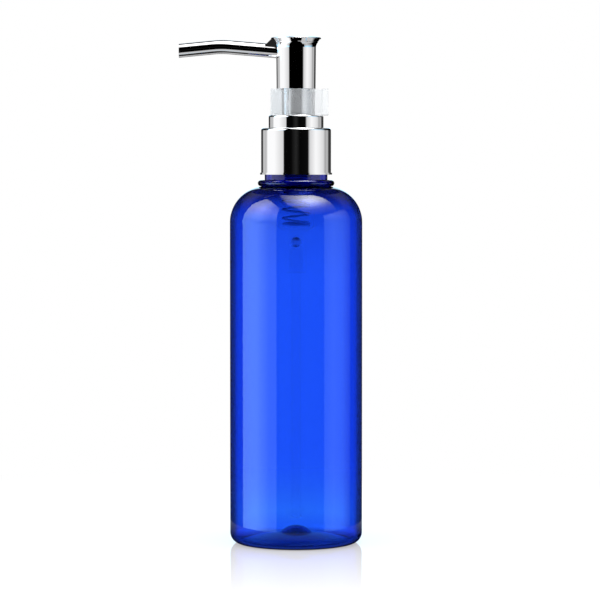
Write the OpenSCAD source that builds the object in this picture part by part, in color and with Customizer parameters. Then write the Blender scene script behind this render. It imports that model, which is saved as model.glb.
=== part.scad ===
// Pump bottle: a cylindrical blown bottle with a screwed-on lotion pump,
// a stepped closure, a swivelling flared head with a bent spout, and a
// pull-off lock clip round the stem.
// Millimetres, +Z up, origin at the middle of the base's contact ring,
// spout towards -X, clip tab towards +X.

/* [View] */
// which sub-part to draw, or all
// facets of a full circle in the preview
$fn = 96; // [24:8:192]

/* [Bottle body] */
// outside diameter of the body
body_d = 50; // [44:0.5:80]
// height from the base to the top of the shoulder
body_h = 135.2; // [110:1:200]
// wall thickness of the body and shoulder
body_wall = 0.9; // [0.6:0.1:1.5]
// radius of the shoulder's quarter round
shoulder_r = 13.7; // [12:0.1:14.5]
// radius of the round from the wall to the base
heel_r = 4; // [2.5:0.1:6]
// width of the flat ring that the bottle stands on
ring_w = 1.2; // [0.8:0.1:2]
// height of the pushed-up base above the contact ring
push_h = 3; // [1.5:0.1:5]
// diameter of the dome in the middle of the base
dome_d = 10.9; // [6:0.1:16]
// height of the dome above the pushed-up base
dome_h = 2.7; // [1:0.1:4]
// wall thickness of the base
base_wall = 1.2; // [0.8:0.1:2]

/* [Bottle neck] */
// how far the round bead under the neck stands out past the band
bead_out = 2.59; // [1.5:0.01:4]
// height of the bead
bead_h = 2.4; // [2:0.1:3.4]
// how far the plain band above the bead stands out past the thread
band_out = 0.31; // [0.1:0.01:0.6]
// height of the plain band
band_h = 3.5; // [3:0.1:4.5]
// height from the bead's top to the mouth
neck_h = 15.7; // [15:0.1:18]
// diameter at the root of the neck's thread
root_d = 21.2; // [20.8:0.1:21.6]
// wall of the neck at the thread's root
neck_wall = 1.4; // [1.2:0.1:1.7]
// round between the neck bore and the inside of the shoulder
throat_r = 1.5; // [0.8:0.1:2.5]

/* [Neck thread] */
// rise of the thread in one turn
pitch = 3.175; // [2.5:0.005:3.6]
// height of the neck's thread above its root
thread_h = 0.95; // [0.6:0.05:1.1]
// turns of thread on the neck
neck_turns = 1.5; // [1:0.25:2]
// turns of thread in the closure
cap_turns = 1.5; // [1:0.25:2]
// width of a thread ridge at its crest
crest_w = 0.9; // [0.6:0.05:1.1]
// width of a thread ridge at its root
ridge_w = 1.9; // [1.5:0.05:2]
// distance from the mouth down to the end of the neck's thread
thread_drop = 2; // [1.5:0.1:3]
// clearance between the two threads, measured on the radius
thread_gap = 0.25; // [0.2:0.01:0.35]
// how much slimmer the closure's ridge is than the neck's
ridge_slack = 0.1; // [0.05:0.05:0.2]
// sides of the thread's helix in one turn
thread_sides = 24; // [20:4:32]

/* [Closure] */
// gap between the bead and the closure's lower edge
collar_gap = 2; // [1.2:0.1:3]
// wall of the threaded liner
liner_wall = 0.9; // [0.7:0.05:1.5]
// how far the out-turned lower lip stands out past the skirt
lip_out = 0.4; // [0.2:0.05:0.8]
// height of the out-turned lower lip
lip_h = 0.7; // [0.5:0.05:1]
// width of the closure's shoulder, from the skirt in to the upper step
shoulder_w = 2.85; // [2:0.05:3]
// height of the closure's upper step
step_h = 4.9; // [4.6:0.1:7]
// thickness of the closure's metal shell
shell_t = 0.5; // [0.4:0.05:0.6]
// outside round at the top of the skirt
skirt_round = 0.9; // [0.6:0.05:1.2]
// outside round at the top of the step
step_round = 0.8; // [0.6:0.05:1.1]
// thickness of the threaded liner's top
liner_top_t = 1.5; // [1.2:0.1:2.5]
// relief round the liner's top edge
liner_relief = 0.4; // [0.2:0.05:0.5]

/* [Pump engine] */
// thickness of the neck gasket
gasket_t = 0.8; // [0.5:0.1:1.5]
// thickness of the housing's flange on the gasket
flange_t = 1; // [0.8:0.1:1.6]
// bore of the pump housing
cylinder_d = 13.2; // [13:0.1:13.6]
// wall of the pump housing
housing_wall = 1; // [0.8:0.05:1.2]
// height left round the spring's closed coils when the head is down
spring_room = 4.6; // [3:0.1:8]
// outside diameter of the housing's lower socket
socket_d = 7.6; // [7.2:0.1:9]
// length of the housing's lower socket, from the ledge under the spring
socket_len = 17.5; // [17:0.5:24]
// depth to which the dip tube goes into the socket
socket_grip = 9; // [6:0.5:9]
// height of the cone between the cylinder and the tube socket
housing_taper = 2; // [1.5:0.1:3]
// thickness of the valve seat above the dip tube
seat_t = 1.2; // [0.8:0.1:1.4]
// diameter of the vent hole in the housing
vent_d = 1; // [0.6:0.1:1.2]
// outside diameter of the stem
stem_d = 11; // [10.8:0.1:11.1]
// wall of the stem
stem_wall = 1.2; // [1:0.05:1.5]
// travel of the head from its top to its lowest place
stroke = 9.5; // [7:0.1:9.5]
// running fit of sliding pieces, measured on the radius
run_fit = 0.05; // [0.02:0.01:0.1]
// gap between pieces that turn past each other, measured on the radius
turn_gap = 0.3; // [0.2:0.05:0.4]
// wall of the stem guide round the stem
guide_wall = 1; // [0.8:0.05:1.2]
// depth to which the stem guide plugs into the housing
guide_depth = 7; // [5:0.1:9]
// how far the stem guide's neck stands out past the housing
neck_step = 0.6; // [0.3:0.05:0.8]
// height of the collar that keeps the closure on the pump
keeper_h = 1.6; // [1.2:0.1:2.4]
// play between that collar and the closure's liner
keeper_play = 0.1; // [0.05:0.05:0.2]
// length of the piston rod with its flange
rod_len = 17; // [14:0.5:20]
// thickness of the piston rod's flange
rod_flange_t = 1.2; // [1:0.1:2]
// gap round the piston rod's flange, measured on the radius
flange_gap = 1.1; // [0.8:0.1:1.4]
// gap between the piston and the stem's lower end
stem_gap = 1.5; // [1:0.1:2]
// thickness of the stem's closed lower end
stem_floor_t = 6; // [5:0.1:7]
// diameter of the piston rod
rod_d = 6; // [5.4:0.1:6.6]
// bore of the piston rod
rod_bore_d = 3; // [2:0.1:3.4]
// height of the rod's bore floor above the piston's lower end
bore_floor = 1.2; // [0.8:0.1:2]
// bore of the rod's side ports
port_d = 1.4; // [1:0.1:2]
// height of the piston
piston_h = 7; // [6:0.1:8]
// depth of the grooves behind the piston's lips
groove_h = 2; // [1.5:0.1:2.5]
// thickness of the piston's lips at the cylinder
seal_t = 0.8; // [0.7:0.05:1]
// thickness of the piston's sleeve at its upper end
sleeve_t = 1.2; // [1:0.1:1.5]
// thickness of the piston's sleeve at its lower end
foot_t = 1.6; // [1.3:0.1:2]
// how far the piston's waist is set back from the cylinder
waist_in = 0.5; // [0.3:0.05:0.6]
// diameter of the valve ball
ball_d = 4; // [3.6:0.1:4.2]
// how far the valve ball can rise
ball_lift = 1.4; // [0.8:0.1:2]
// clearance round the valve ball in its chamber
ball_room = 0.6; // [0.4:0.05:0.8]
// thickness of a rib of the ball's cage
cage_t = 0.8; // [0.6:0.05:1]
// height of a rib of the ball's cage
cage_h = 1.2; // [0.8:0.1:1.6]
// where the cage's ribs end, as a share of the ball's radius
cage_reach = 0.55; // [0.4:0.05:0.7]
// outside diameter of the dip tube
tube_d = 4.6; // [4.2:0.1:5]
// bore of the dip tube
tube_bore_d = 3.2; // [2.6:0.1:3.6]
// gap between the dip tube and the bottle's floor
tube_gap = 3; // [2:0.5:8]
// wire diameter of the return spring
wire_d = 0.8; // [0.6:0.05:0.9]
// mean diameter of the return spring
coil_d = 10; // [9.6:0.1:10.6]
// coils of the return spring
coils = 7; // [5:1:8]

/* [Head] */
// outside diameter of the head's tube at its lower end
head_d = 14.7; // [14.6:0.1:15.2]
// outside diameter of the head's tube under the flare
head_top_d = 15; // [14.8:0.1:15.6]
// height of the head's tube up to the flare
head_tube_h = 16.6; // [15:0.1:20]
// diameter of the flared rim
rim_d = 18.9; // [18:0.1:20]
// height of the flare
flare_h = 2.1; // [1.6:0.1:3]
// hollow round where the tube turns into the flare
flare_round = 3; // [2:0.1:4]
// height of the upright rim edge
rim_h = 0.5; // [0.3:0.05:0.8]
// rise of the domed crown above the rim
crown_h = 1; // [0.6:0.1:1.6]
// depth of the open space inside the head's tube
head_recess = 7.2; // [6.5:0.1:8]
// wall of the head's tube at its lower end
head_wall = 0.95; // [0.8:0.05:1]

/* [Spout] */
// outside diameter of the spout
spout_d = 5.25; // [4.8:0.05:5.6]
// bore of the spout
spout_bore_d = 3.2; // [2.4:0.1:3.6]
// distance from the axis to the spout's cut end
spout_reach = 44.1; // [38:0.5:60]
// distance from the axis to the middle of the bend
bend_x = 28.13; // [24:0.5:34]
// rise of the spout's first length in degrees
rise_deg = 4.7; // [2:0.1:8]
// droop of the spout's last length in degrees
droop_deg = 5.6; // [3:0.1:12]
// radius of the bend
bend_r = 35; // [20:1:50]
// height of the spout's centre line in the head, below the rim's lower edge
spout_drop = 4.55; // [4:0.05:5]
// how far from the pump's axis the solid spout starts
spout_root = 2; // [1:0.1:3]
// height from the stem's top to the spout's bore
spout_step = 0.6; // [0.4:0.05:0.8]
// thickness of the web between the spout and the rim
web_t = 4.6; // [3:0.1:5]
// how far the web runs down along the spout beyond the rim
web_run = 3.2; // [2:0.1:5]
// height of the web's square outer edge
web_edge = 0.4; // [0.2:0.05:0.6]

/* [Lock clip] */
// outside diameter of the clip's ring
clip_d = 14.3; // [14:0.1:14.5]
// height of the clip, which is the gap that it keeps
clip_h = 9.8; // [9.7:0.1:14]
// clearance between the clip's ring and the stem, measured on the radius
clip_fit = 0.3; // [0.2:0.05:0.4]
// clearance above the clip under the head's tube
clip_play = 0.1; // [0.05:0.05:0.2]
// width of the clip's mouth
mouth_w = 9.4; // [8.8:0.1:10]
// distance from the axis to the ends of the clip's lips
lip_reach = 9.55; // [8:0.1:12]
// thickness of the clip's lips
clip_lip_t = 1.3; // [1:0.05:1.5]
// distance from the axis to the outer face of the grip bar
grip_reach = 12.15; // [11:0.1:16]
// thickness of the grip bar
grip_t = 2.3; // [1.5:0.1:3]
// width of the grip bar
grip_w = 9; // [6:0.5:14]
// thickness of the plate between the ring and the grip bar
plate_t = 1.6; // [1:0.1:2.5]
// how far outside the ring's bore the plate starts
plate_root = 0.5; // [0.3:0.05:0.8]
// where the lips start, as a share of the ring's bore radius
lip_root = 0.5; // [0.3:0.05:0.7]

/* [Hidden] */
over = 1;                     // how far a cut runs past the solid
bite = 0.35;                  // how deep a joined piece starts inside its wall
seam = 0.01;                  // how much wider the joint between two lengths of spout is
seam_len = 0.2;               // length of that joint
body_r = body_d / 2;
heel_cr = body_r - heel_r;
shoulder_cr = body_r - shoulder_r;
shoulder_cz = body_h - shoulder_r;
push_r = heel_cr - ring_w;
push_sphere = (push_r * push_r + push_h * push_h) / (2 * push_h);
push_cz = push_h - push_sphere;
dome_r = dome_d / 2;
dome_foot = push_cz + sqrt(push_sphere * push_sphere - dome_r * dome_r);
dome_sphere = (dome_r * dome_r + dome_h * dome_h) / (2 * dome_h);
dome_cz = dome_foot + dome_h - dome_sphere;
floor_z = dome_foot + dome_h + base_wall;
sink = 0.1;                    // how deep the bead sits in the shoulder's top
bead_z = body_h + bead_h / 2 - sink;
bead_r = bead_h / 2;
neck_z = body_h + bead_h - sink;
mouth_z = neck_z + neck_h;
root_r = root_d / 2;
bore_r = root_r - neck_wall;
thread_r = root_r + thread_h;
band_r = thread_r + band_out;
bead_edge = band_r + bead_out;
thread_top = mouth_z - thread_drop;
thread_low = thread_top - neck_turns * pitch;

gasket_top = mouth_z + gasket_t;
flange_top = gasket_top + flange_t;
liner_top = flange_top + liner_top_t;
skirt_z = neck_z + collar_gap;
skirt_top = liner_top + shell_t;
step_top = skirt_top + step_h;
liner_in = thread_r + thread_gap;
skirt_in = liner_in + liner_wall;
skirt_r = skirt_in + shell_t;
step_r = skirt_r - shoulder_w;
step_in = step_r - shell_t;
liner_low = neck_z + band_h + thread_gap;
boss_r = stem_d / 2 + run_fit + guide_wall;
shell_hole = boss_r + turn_gap;
guide_neck = cylinder_d / 2 + housing_wall + neck_step;
liner_hole = guide_neck + turn_gap;
guide_collar = step_in - turn_gap - run_fit;

cylinder_r = cylinder_d / 2;
housing_r = cylinder_r + housing_wall;
flange_r = root_r;
ball_r = ball_d / 2;
chamber_r = ball_r + ball_room;
socket_r = socket_d / 2;
tube_r = tube_d / 2;
seat_r = tube_bore_d / 2;
stem_r = stem_d / 2;
guide_in = stem_r + run_fit;
guide_low = flange_top - guide_depth;
piston_top = guide_low - run_fit;
piston_z = piston_top - piston_h;
rod_r = rod_d / 2;
rod_flange_r = cylinder_r - flange_gap;
rod_z = piston_z - rod_flange_t;
ledge_z = rod_z - stroke - coils * wire_d - spring_room;
cylinder_depth = flange_top - ledge_z;
taper_z = ledge_z - housing_taper;
socket_z = ledge_z - socket_len;
tube_top = socket_z + socket_grip;
seat_z = tube_top + seat_t;
ball_z = seat_z + ball_r * sqrt(2) - seat_r;
seat_top = seat_z + chamber_r - seat_r;
cage_z = ball_z + ball_r + ball_lift;
rod_top = rod_z + rod_len;
stem_low = piston_top + stem_gap;

head_z = step_top + clip_h + clip_play;
head_r = head_d / 2;
head_top_r = head_top_d / 2;
flare_z = head_z + head_tube_h;
rim_z = flare_z + flare_h;
rim_r = rim_d / 2;
crown_z = rim_z + rim_h;
crown_top = crown_z + crown_h;
crown_r = rim_r - rim_h / 2;
crown_sphere = (crown_r * crown_r + crown_h * crown_h) / (2 * crown_h);
recess_top = head_z + head_recess;
spout_r = spout_d / 2;
spout_bore_r = spout_bore_d / 2;
spout_z = rim_z - spout_drop;
stem_top = spout_z - spout_bore_r - spout_step;
well_r = stem_r - stem_wall;
bend_z = spout_z + (bend_x - head_top_r) * tan(rise_deg);
bend_deg = rise_deg + droop_deg;
bend_cut = bend_r * tan(bend_deg / 2);
run_in = (bend_x - 1) / cos(rise_deg) - bend_cut;
run_out = (spout_reach - bend_x) / cos(droop_deg) - bend_cut + 2 * spout_r;
clip_r = clip_d / 2;
clip_in = stem_r + clip_fit;

// helpers used by several pieces

// a trapezium ridge that climbs a helix, as one closed body, fading at its ends
module helix_ridge(r_root, r_crest, z0, turns, w_root, w_crest) {
  steps = round(turns * thread_sides);
  fade = 3;
  function part(i) = min(1, min(i, steps - i) / fade);
  function at(i, r, dz) =
    let (a = 360 * i / thread_sides) [r * cos(a), r * sin(a), z0 + pitch * i / thread_sides + dz];
  function tip(i) = r_root + (r_crest - r_root) * (0.15 + 0.85 * part(i));
  pts = [for (i = [0 : steps]) each [
    at(i, r_root, -w_root / 2), at(i, tip(i), -w_crest / 2),
    at(i, tip(i), w_crest / 2), at(i, r_root, w_root / 2)]];
  turned = r_crest > r_root;
  function quad(a, b, c, d) = turned ? [[a, b, c], [a, c, d]] : [[c, b, a], [d, c, a]];
  sides = [for (i = [0 : steps - 1]) for (j = [0 : 3])
    each quad(4 * i + j, 4 * i + (j + 1) % 4, 4 * i + 4 + (j + 1) % 4, 4 * i + 4 + j)];
  ends = concat(quad(3, 2, 1, 0), quad(4 * steps, 4 * steps + 1, 4 * steps + 2, 4 * steps + 3));
  polyhedron(pts, concat(sides, ends));
}

// a round wire wound into a spring with closed end coils
module wire_coil(r, wire, z_low, z_high, turns) {
  around = 20;
  sides = 8;
  steps = turns * around;
  rise = z_high - z_low - wire;
  function lift(t) = t < 1 ? wire * t : t > turns - 1 ? rise - wire * (turns - t)
    : wire + (rise - 2 * wire) * (t - 1) / (turns - 2);
  pts = [for (i = [0 : steps]) for (j = [0 : sides - 1])
    let (t = i / around, a = 360 * t, b = 360 * j / sides, rr = r + wire / 2 * cos(b))
    [rr * cos(a), rr * sin(a), z_low + wire / 2 + lift(t) + wire / 2 * sin(b)]];
  skin = [for (i = [0 : steps - 1]) for (j = [0 : sides - 1])
    each [[sides * i + j, sides * i + sides + j, sides * i + (j + 1) % sides],
          [sides * i + (j + 1) % sides, sides * i + sides + j, sides * i + sides + (j + 1) % sides]]];
  cap_low = [[for (j = [0 : sides - 1]) j]];
  cap_high = [[for (j = [sides - 1 : -1 : 0]) sides * steps + j]];
  polyhedron(pts, concat(skin, cap_low, cap_high));
}

// half of a profile turned about the axis
module turned() {
  rotate_extrude() children();
}

// the bottle

module bottle_outside() {
  square([heel_cr, shoulder_cz]);
  translate([0, heel_r]) square([body_r, shoulder_cz - heel_r]);
  translate([heel_cr, heel_r]) circle(heel_r);
  intersection() {
    translate([shoulder_cr, shoulder_cz]) circle(shoulder_r);
    translate([shoulder_cr, shoulder_cz]) square(shoulder_r + over);
  }
  translate([0, shoulder_cz - over]) square([shoulder_cr, shoulder_r + over]);
  square([root_r, neck_z]);
  translate([bead_edge - bead_r, bead_z]) circle(bead_r);
  translate([0, bead_z - bead_r]) square([bead_edge - bead_r, bead_h]);
  translate([0, neck_z - over]) square([band_r, band_h + over]);
  translate([0, neck_z]) square([root_r, neck_h]);
}

module bottle_inside() {
  difference() {
    union() {
      translate([0, body_wall]) square([heel_cr, shoulder_cz]);
      translate([0, heel_r]) square([body_r - body_wall, shoulder_cz - heel_r]);
      translate([heel_cr, heel_r]) circle(heel_r - body_wall);
      intersection() {
        translate([shoulder_cr, shoulder_cz]) circle(shoulder_r - body_wall);
        translate([shoulder_cr, shoulder_cz]) square(shoulder_r + over);
      }
      translate([0, shoulder_cz - over]) square([shoulder_cr, shoulder_r - body_wall + over]);
      translate([0, shoulder_cz]) square([bore_r, mouth_z - shoulder_cz + over]);
      difference() {
        translate([bore_r - over, body_h - body_wall - over]) square([throat_r + over, throat_r + over]);
        translate([bore_r + throat_r, body_h - body_wall + throat_r]) circle(throat_r);
      }
    }
    translate([0, push_cz]) circle(push_sphere + base_wall);
    translate([0, dome_cz]) circle(dome_sphere + base_wall);
  }
}

module bottle() {
  color([0.05, 0.25, 0.95, 0.5]) union() {
    turned() difference() {
      intersection() {
        bottle_outside();
        square([body_d, mouth_z]);
      }
      bottle_inside();
      translate([0, push_cz]) circle(push_sphere);
      translate([0, dome_cz]) circle(dome_sphere);
      translate([-body_d, -body_d]) square([body_d, 2 * body_h + body_d]);
    }
    helix_ridge(root_r - bite, thread_r, thread_low, neck_turns, ridge_w, crest_w);
  }
}

// the closure

module gasket() {
  color([0.9, 0.9, 0.88]) translate([0, 0, mouth_z]) difference() {
    cylinder(h = gasket_t, r = root_r);
    translate([0, 0, -over]) cylinder(h = gasket_t + 2 * over, r = housing_r + turn_gap);
  }
}

module closure_shell() {
  color([0.85, 0.85, 0.88]) turned() difference() {
    union() {
      translate([0, skirt_z]) square([skirt_r + lip_out, lip_h]);
      translate([0, skirt_z]) square([skirt_r, skirt_top - skirt_round - skirt_z]);
      translate([0, skirt_z]) square([skirt_r - skirt_round, skirt_top - skirt_z]);
      translate([skirt_r - skirt_round, skirt_top - skirt_round]) circle(skirt_round);
      translate([0, skirt_z]) square([step_r, step_top - step_round - skirt_z]);
      translate([0, skirt_z]) square([step_r - step_round, step_top - skirt_z]);
      translate([step_r - step_round, step_top - step_round]) circle(step_round);
    }
    translate([0, skirt_z - over]) square([skirt_in, liner_top - skirt_z + over - (skirt_round - shell_t)]);
    translate([0, skirt_z - over]) square([skirt_r - skirt_round, liner_top - skirt_z + over]);
    translate([skirt_r - skirt_round, skirt_top - skirt_round]) circle(skirt_round - shell_t);
    translate([0, liner_top - over]) square([step_in, step_top - step_round - liner_top + over]);
    translate([0, liner_top]) square([step_r - step_round, step_top - shell_t - liner_top]);
    translate([step_r - step_round, step_top - step_round]) circle(step_round - shell_t);
    translate([0, step_top - 2 * shell_t]) square([shell_hole, 3 * shell_t]);
    translate([-2 * skirt_r, 0]) square([2 * skirt_r, 2 * step_top]);
  }
}

module closure_liner() {
  color([0.93, 0.93, 0.92]) union() {
    turned() difference() {
      union() {
        translate([0, liner_low]) square([skirt_in, liner_top - liner_low - liner_relief]);
        translate([0, liner_low]) square([skirt_in - liner_relief, liner_top - liner_low]);
      }
      translate([0, liner_low - over]) square([liner_in, flange_top - liner_low + over]);
      translate([0, liner_low]) square([liner_hole, liner_top]);
    }
    helix_ridge(liner_in + bite, root_r + thread_gap, thread_low + pitch / 2, cap_turns,
                ridge_w - ridge_slack, crest_w - ridge_slack);
  }
}

// the pump engine

module pump_housing() {
  color([0.92, 0.93, 0.95, 0.8]) difference() {
    union() {
      turned() difference() {
        union() {
          translate([0, gasket_top]) square([flange_r, flange_t]);
          translate([0, ledge_z]) square([housing_r, cylinder_depth]);
          translate([0, socket_z]) square([socket_r, socket_len + over]);
          polygon([[0, taper_z], [socket_r, taper_z], [housing_r, ledge_z], [0, ledge_z]]);
        }
        translate([0, ledge_z]) square([cylinder_r, cylinder_depth + over]);
        translate([0, seat_top]) square([chamber_r, ledge_z - seat_top + over]);
        polygon([[0, seat_z], [seat_r, seat_z], [chamber_r, seat_top], [0, seat_top]]);
        translate([0, tube_top - over]) square([seat_r, seat_z - tube_top + 2 * over]);
        translate([0, socket_z - over]) square([tube_r, tube_top - socket_z + over]);
      }
      for (a = [0 : 90 : 270]) rotate([0, 0, a])
        translate([ball_r * cage_reach, -cage_t / 2, cage_z])
        cube([chamber_r - ball_r * cage_reach + bite, cage_t, cage_h]);
    }
    translate([0, 0, piston_z + piston_h / 2]) rotate([90, 0, 0])
      cylinder(h = 2 * housing_r, r = vent_d / 2);
  }
}

module stem_guide() {
  color([0.93, 0.93, 0.92]) difference() {
    union() {
      translate([0, 0, guide_low]) cylinder(h = flange_top - guide_low, r = cylinder_r);
      translate([0, 0, flange_top]) cylinder(h = liner_top + keeper_play - flange_top, r = guide_neck);
      translate([0, 0, liner_top + keeper_play]) cylinder(h = keeper_h, r = guide_collar);
      translate([0, 0, liner_top]) cylinder(h = step_top - liner_top, r = boss_r);
    }
    translate([0, 0, guide_low - over]) cylinder(h = step_top - guide_low + 2 * over, r = guide_in);
  }
}

module inlet_ball() {
  color([0.75, 0.75, 0.78]) translate([0, 0, ball_z]) sphere(ball_r);
}

module dip_tube() {
  color([0.95, 0.97, 1, 0.5]) translate([0, 0, floor_z + tube_gap]) difference() {
    cylinder(h = tube_top - floor_z - tube_gap, r = tube_r);
    translate([0, 0, -over]) cylinder(h = tube_top - floor_z - tube_gap + 2 * over, r = seat_r);
  }
}

module return_spring() {
  color([0.7, 0.7, 0.72]) wire_coil(coil_d / 2, wire_d, ledge_z, rod_z, coils);
}

module piston() {
  color([0.9, 0.9, 0.95]) translate([0, 0, piston_z]) turned() difference() {
    square([cylinder_r - run_fit, piston_h]);
    translate([0, -over]) square([rod_r + run_fit, piston_h + 2 * over]);
    translate([rod_r + sleeve_t, piston_h - groove_h])
      square([cylinder_r - seal_t - rod_r - sleeve_t, groove_h + over]);
    translate([rod_r + foot_t, -over]) square([cylinder_r - seal_t - rod_r - foot_t, groove_h + over]);
    translate([cylinder_r - waist_in, groove_h]) square([waist_in, piston_h - 2 * groove_h]);
  }
}

module piston_rod() {
  color([0.88, 0.88, 0.9]) difference() {
    union() {
      translate([0, 0, rod_z]) cylinder(h = rod_flange_t, r = rod_flange_r);
      translate([0, 0, rod_z]) cylinder(h = rod_top - rod_z, r = rod_r);
    }
    translate([0, 0, piston_z + bore_floor]) cylinder(h = rod_top, r = rod_bore_d / 2);
    translate([0, 0, piston_z + piston_h / 2]) rotate([0, 90, 0])
      cylinder(h = rod_d * 2, r = port_d / 2, center = true);
  }
}

module stem() {
  color([0.94, 0.94, 0.93]) difference() {
    translate([0, 0, stem_low]) cylinder(h = stem_top - stem_low, r = stem_r);
    translate([0, 0, stem_low - over]) cylinder(h = rod_top - stem_low + over, r = rod_r);
    translate([0, 0, stem_low + stem_floor_t]) cylinder(h = stem_top - stem_low, r = well_r);
  }
}

// the head and its spout

module head_outline() {
  polygon([[0, head_z], [head_r, head_z], [head_top_r, flare_z],
           [rim_r - rim_h / 2, rim_z + rim_h / 2], [0, rim_z + rim_h / 2]]);
  translate([0, rim_z]) square([rim_r - rim_h / 2, rim_h]);
  translate([rim_r - rim_h / 2, rim_z + rim_h / 2]) circle(rim_h / 2);
  flare_deg = atan2(rim_r - head_top_r, flare_h);
  touch = flare_round * tan(flare_deg / 2);
  difference() {
    polygon([[head_top_r - bite, flare_z - touch], [head_top_r, flare_z - touch],
             [head_top_r + touch * sin(flare_deg), flare_z + touch * cos(flare_deg)],
             [head_top_r - bite, flare_z + touch * cos(flare_deg)]]);
    translate([head_top_r + flare_round, flare_z - touch]) circle(flare_round);
  }
  intersection() {
    translate([0, crown_top - crown_sphere]) circle(crown_sphere);
    translate([0, rim_z]) square([crown_r, rim_h + crown_h + over]);
  }
}

// the spout's path from inside the head to its end, at a given radius
module spout_run(r, start, extra) {
  translate([-bend_x, 0, bend_z]) {
    rotate([0, 90 + rise_deg, 0]) translate([0, 0, bend_cut]) cylinder(h = run_in - start, r = r);
    translate([bend_cut * cos(rise_deg), 0, -bend_cut * sin(rise_deg)])
      rotate([0, rise_deg, 0]) translate([0, 0, -bend_r]) rotate([90, 0, 0]) rotate([0, 0, 90])
      rotate_extrude(angle = bend_deg) translate([bend_r, 0]) circle(r);
    rotate([0, -90 - droop_deg, 0]) translate([0, 0, bend_cut]) cylinder(h = run_out + extra, r = r);
    for (deg = [90 + rise_deg, -90 - droop_deg])
      rotate([0, deg, 0]) translate([0, 0, bend_cut - seam_len / 2]) cylinder(h = seam_len, r = r + seam);
  }
}

module head() {
  color([0.88, 0.88, 0.9]) difference() {
    union() {
      turned() head_outline();
      spout_run(spout_r, spout_root, 0);
      translate([0, web_t / 2, 0]) rotate([90, 0, 0]) linear_extrude(web_t)
        polygon([[-head_top_r + over, rim_z + rim_h / 2], [-rim_r + web_edge, rim_z + rim_h / 2],
                 [-rim_r - web_run, rim_z + rim_h / 2 - web_run - web_edge],
                 [-head_top_r + over, spout_z]]);
    }
    translate([0, 0, head_z - over]) cylinder(h = head_recess + over, r = head_r - head_wall);
    translate([0, 0, head_z]) cylinder(h = stem_top - head_z, r = stem_r);
    translate([0, 0, head_z]) cylinder(h = spout_z + spout_bore_r - head_z, r = well_r);
    spout_run(spout_bore_r, 0, over);
    translate([-spout_reach - 4 * spout_d, -spout_d, 0]) cube([4 * spout_d, 2 * spout_d, crown_top]);
  }
}

// the lock clip

module lock_clip() {
  color([0.9, 0.93, 0.95, 0.7]) translate([0, 0, step_top]) difference() {
    union() {
      cylinder(h = clip_h, r = clip_r);
      for (s = [-1, 1]) translate([-lip_reach, s * (mouth_w + clip_lip_t) / 2 - clip_lip_t / 2, 0])
        cube([lip_reach - clip_in * lip_root, clip_lip_t, clip_h]);
      translate([clip_in + plate_root, -plate_t / 2, 0])
        cube([grip_reach - clip_in - plate_root - grip_t / 2, plate_t, clip_h]);
      translate([grip_reach - grip_t, -grip_w / 2, 0]) cube([grip_t, grip_w, clip_h]);
    }
    translate([0, 0, -over]) cylinder(h = clip_h + 2 * over, r = clip_in);
    translate([-2 * lip_reach, -mouth_w / 2, -over]) cube([2 * lip_reach, mouth_w, clip_h + 2 * over]);
  }
}

bottle();
gasket();
closure_shell();
closure_liner();
pump_housing();
stem_guide();
inlet_ball();
dip_tube();
return_spring();
piston();
piston_rod();
stem();
head();
lock_clip();
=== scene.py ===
"""Looks for the pump bottle: finishes for every piece, a smooth return spring, and a pale studio."""

import logging
import math
from dataclasses import dataclass, field
from enum import Enum
from typing import Iterable, Mapping, Optional, Sequence

import bpy
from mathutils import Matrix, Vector


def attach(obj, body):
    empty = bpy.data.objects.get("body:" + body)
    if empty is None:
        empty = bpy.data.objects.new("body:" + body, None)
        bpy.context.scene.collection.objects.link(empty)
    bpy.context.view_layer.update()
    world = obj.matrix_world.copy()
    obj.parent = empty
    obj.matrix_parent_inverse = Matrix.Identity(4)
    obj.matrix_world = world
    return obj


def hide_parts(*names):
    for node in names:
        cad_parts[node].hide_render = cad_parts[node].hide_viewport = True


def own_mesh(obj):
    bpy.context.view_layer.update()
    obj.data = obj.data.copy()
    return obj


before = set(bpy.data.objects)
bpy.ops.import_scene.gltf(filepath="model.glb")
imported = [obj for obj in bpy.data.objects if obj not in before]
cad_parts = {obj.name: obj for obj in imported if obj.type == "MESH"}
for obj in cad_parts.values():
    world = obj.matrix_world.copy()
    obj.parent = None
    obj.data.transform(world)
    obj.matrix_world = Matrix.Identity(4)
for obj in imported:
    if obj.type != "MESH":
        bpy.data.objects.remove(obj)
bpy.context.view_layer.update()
LOG = logging.getLogger("pump_bottle")
MM = 0.001
DEGREES = 180 / math.pi

Colour = tuple[float, float, float]
Span = tuple[float, float]
Stops = Sequence[Span]
Socket = bpy.types.NodeSocket
Outputs = Mapping[str, Socket]
WHITE: Colour = (1.0, 1.0, 1.0)


class Operation(Enum):
    """The sums that the finishes, the spring and the studio use."""

    ADD = "ADD"
    MULTIPLY = "MULTIPLY"
    MAXIMUM = "MAXIMUM"
    SUBTRACT = "SUBTRACT"
    ARCTAN2 = "ARCTAN2"
    ABSOLUTE = "ABSOLUTE"
    ARCSINE = "ARCSINE"
    DIVIDE = "DIVIDE"
    SQUARE_ROOT = "SQRT"


class Wear(Enum):
    """Which shared surface effect a finish carries."""

    MOULDED = "moulded skin"
    DRAWN = "drawn and polished skin"


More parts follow.
